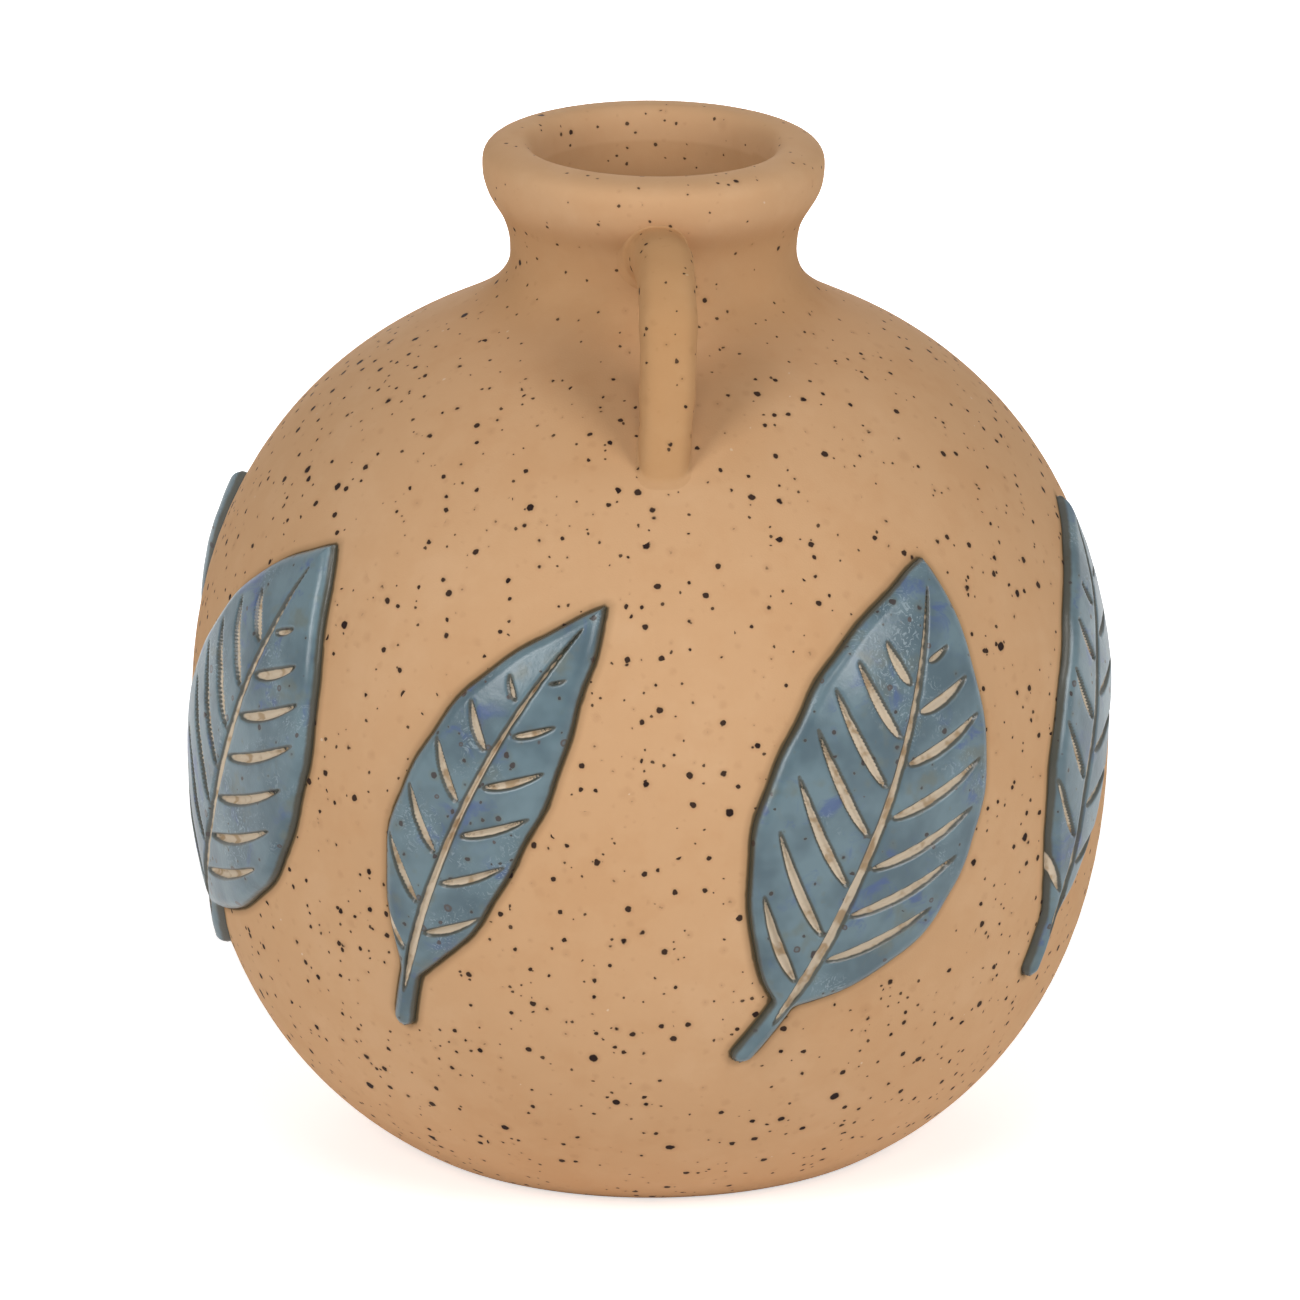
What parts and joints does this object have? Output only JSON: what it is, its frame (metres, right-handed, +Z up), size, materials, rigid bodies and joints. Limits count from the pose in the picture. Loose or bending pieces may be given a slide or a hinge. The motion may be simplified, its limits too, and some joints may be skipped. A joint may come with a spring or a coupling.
{
  "type": "ceramic jug",
  "caption": "Round-bellied stoneware jug with a short flared neck, rolled lip, small loop handle and a ring of blue-glazed leaf reliefs, for pouring or holding stems.",
  "frame": {"origin": "centre of the foot, on the surface that the jug stands on", "axes": "+Z up the jug's axis, -Y towards the handle, +X to the right as seen from the handle's side"},
  "size_m": [0.1842, 0.1842, 0.2],
  "materials": {
    "clay": "matt unglazed buff stoneware with iron speckles",
    "glaze": "satin slate-blue glaze breaking dark at the edges"
  },
  "bodies": {
    "root": {"body": "clay", "neck": "clay", "handle": "clay", "leaf_broad_1": "glaze", "leaf_broad_2": "glaze", "leaf_broad_3": "glaze", "leaf_broad_4": "glaze", "leaf_slender_1": "glaze", "leaf_slender_2": "glaze", "leaf_slender_3": "glaze", "leaf_slender_4": "glaze"}
  },
  "joints": []
}
